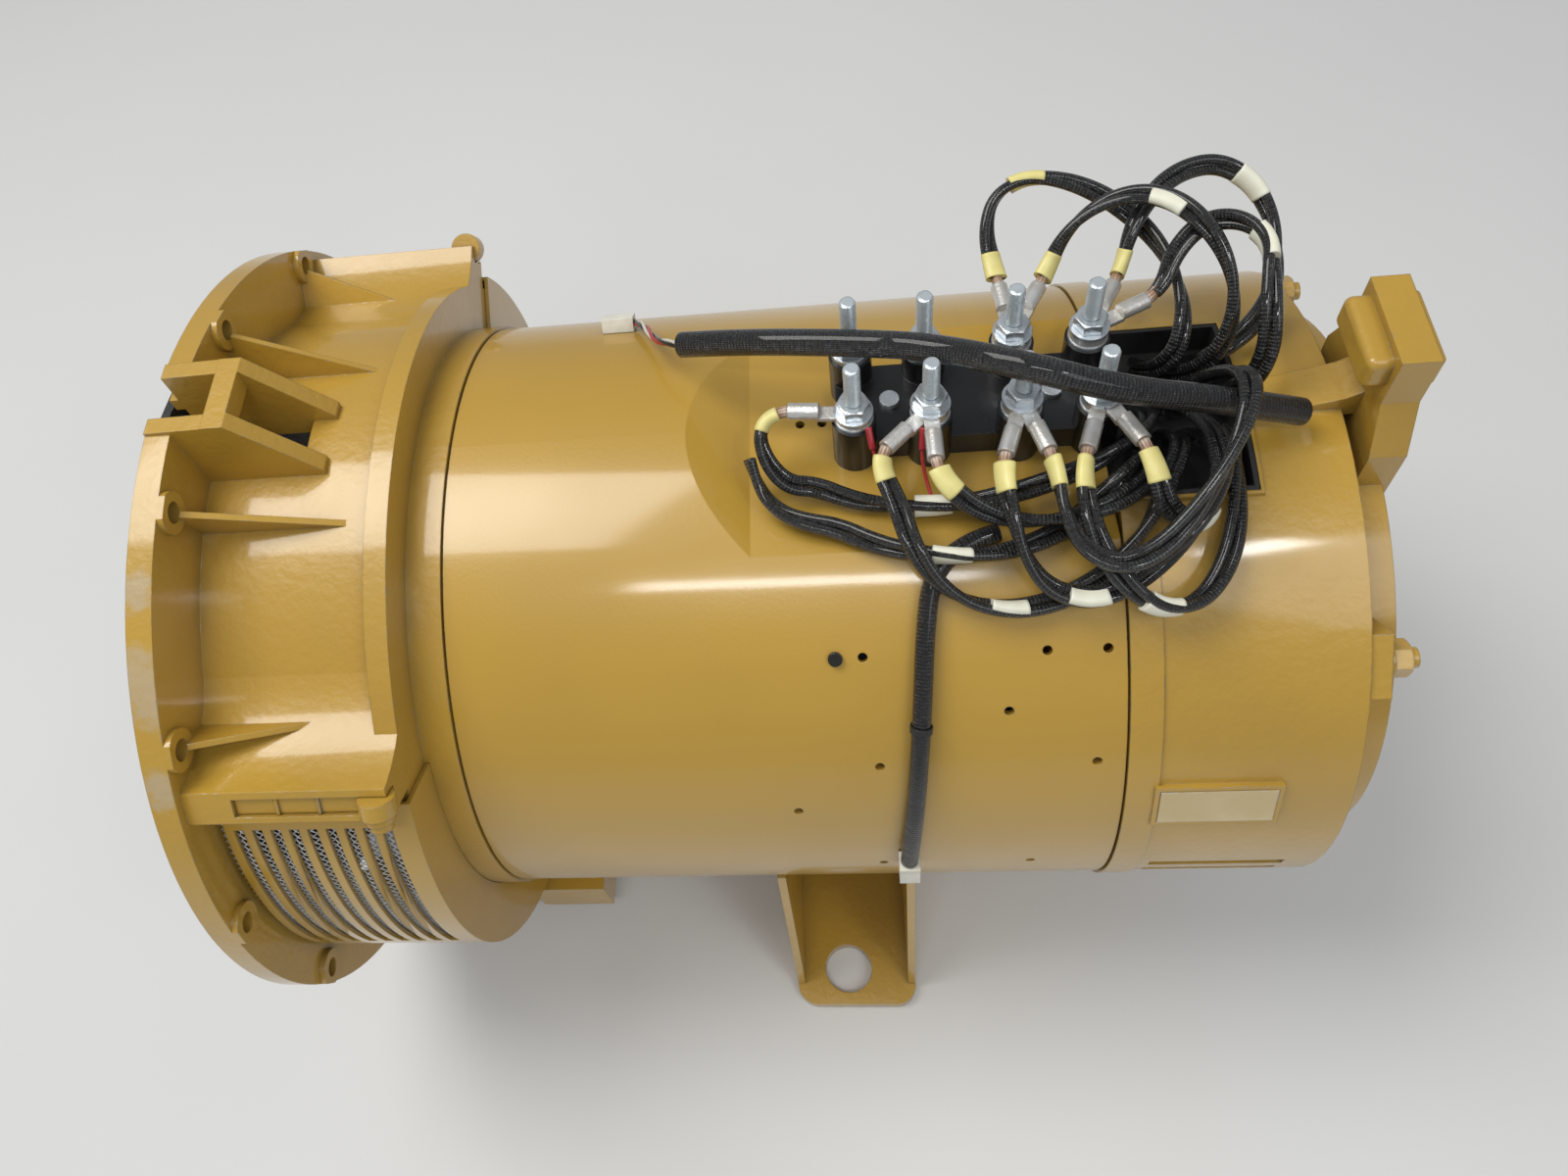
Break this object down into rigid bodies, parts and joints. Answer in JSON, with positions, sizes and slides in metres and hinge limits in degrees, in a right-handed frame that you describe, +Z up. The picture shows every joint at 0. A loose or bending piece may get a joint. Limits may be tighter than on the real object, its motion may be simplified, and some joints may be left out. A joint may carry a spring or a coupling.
{
  "type": "generator alternator head",
  "caption": "Flanged single-bearing alternator head with round barrel, louvred outlet, top terminal posts, loose output leads, two feet and two lifting points.",
  "frame": {"origin": "centre of the drive flange's mating face, on the shaft axis", "axes": "+X along the shaft from the drive end to the rear end, +Z up through the lifting points, -Y is the side the picture looks from"},
  "size_m": [0.7644, 0.5524, 0.5699],
  "materials": {
    "aluminium": "cast aluminium",
    "bare_plate": "thin plate, overpainted, bare of any marking",
    "bearing_steel": "ground bearing steel",
    "black_plastic": "satin moulded plastic",
    "black_sleeve": "glossy black lead insulation",
    "black_steel": "black oxide spring steel",
    "brass": "machined brass",
    "cast_hub": "machined cast iron",
    "copper_winding": "varnished and taped copper winding",
    "core_steel": "varnished electrical sheet",
    "marker_sleeve": "printed wire marker sleeve",
    "ochre_paint": "semi-gloss ochre yellow machinery paint",
    "red_insulation": "red wire insulation",
    "tinned_copper": "tinned copper",
    "white_nylon": "natural nylon",
    "wire_mesh": "woven galvanised wire cloth",
    "zinc_steel": "bright zinc plate"
  },
  "bodies": {
    "stator_frame": {"drive_end_housing": "ochre_paint", "louvre_cover": "ochre_paint", "cover_edge_strips": "ochre_paint", "cover_latches": "ochre_paint", "louvre_mesh": "wire_mesh", "stator_barrel": "ochre_paint", "stator_bars": "core_steel", "stator_core": "core_steel", "end_windings": "copper_winding", "near_foot": "ochre_paint", "far_foot": "ochre_paint", "rear_housing": "ochre_paint", "data_plate": "bare_plate", "exit_liner": "black_plastic", "tie_rods": "zinc_steel", "tie_rod_nuts": "zinc_steel", "bearing_cap": "ochre_paint", "cap_screws": "zinc_steel", "bearing_outer_ring": "bearing_steel", "exciter_stator": "core_steel", "exciter_field_coils": "copper_winding", "terminal_block": "black_plastic", "terminal_studs": "zinc_steel", "terminal_washers": "zinc_steel", "terminal_nuts": "zinc_steel", "small_screws": "zinc_steel", "cable_lugs": "tinned_copper", "harness_fittings": "white_nylon", "harness_side": "black_sleeve", "harness_tail": "red_insulation", "harness_upper": "black_sleeve", "lead_1": "black_sleeve", "lead_10": "black_sleeve", "lead_11": "black_sleeve", "lead_12": "black_sleeve", "lead_2": "black_sleeve", "lead_3": "black_sleeve", "lead_4": "black_sleeve", "lead_5": "black_sleeve", "lead_6": "black_sleeve", "lead_7": "black_sleeve", "lead_8": "black_sleeve", "lead_9": "black_sleeve", "lead_markers": "marker_sleeve"},
    "rotor": {"bearing_inner_ring": "bearing_steel", "exciter_armature": "core_steel", "exciter_winding": "copper_winding", "rectifier_carrier": "aluminium", "rectifier_diodes": "brass", "shaft": "bearing_steel", "hub_key": "bearing_steel", "rotor_core": "core_steel", "rotor_coils": "copper_winding", "cooling_fan": "aluminium", "drive_hub": "cast_hub", "drive_discs": "black_steel", "disc_clamp_ring": "black_steel", "disc_bolts": "zinc_steel"},
    "ball_cage": {"bearing_balls": "bearing_steel", "bearing_cage": "brass"}
  },
  "joints": [
    {"name": "rotor_spin", "type": "hinge", "parent": "stator_frame", "child": "rotor", "pos_m": [0.4, 0, 0], "axis": [1, 0, 0], "continuous": true},
    {"name": "cage_spin", "type": "hinge", "parent": "stator_frame", "child": "ball_cage", "pos_m": [0.6905, 0, 0], "axis": [1, 0, 0], "continuous": true}
  ],
  "couplings": [
    {"joint": "cage_spin", "follows": "rotor_spin", "ratio": 0.3842}
  ]
}
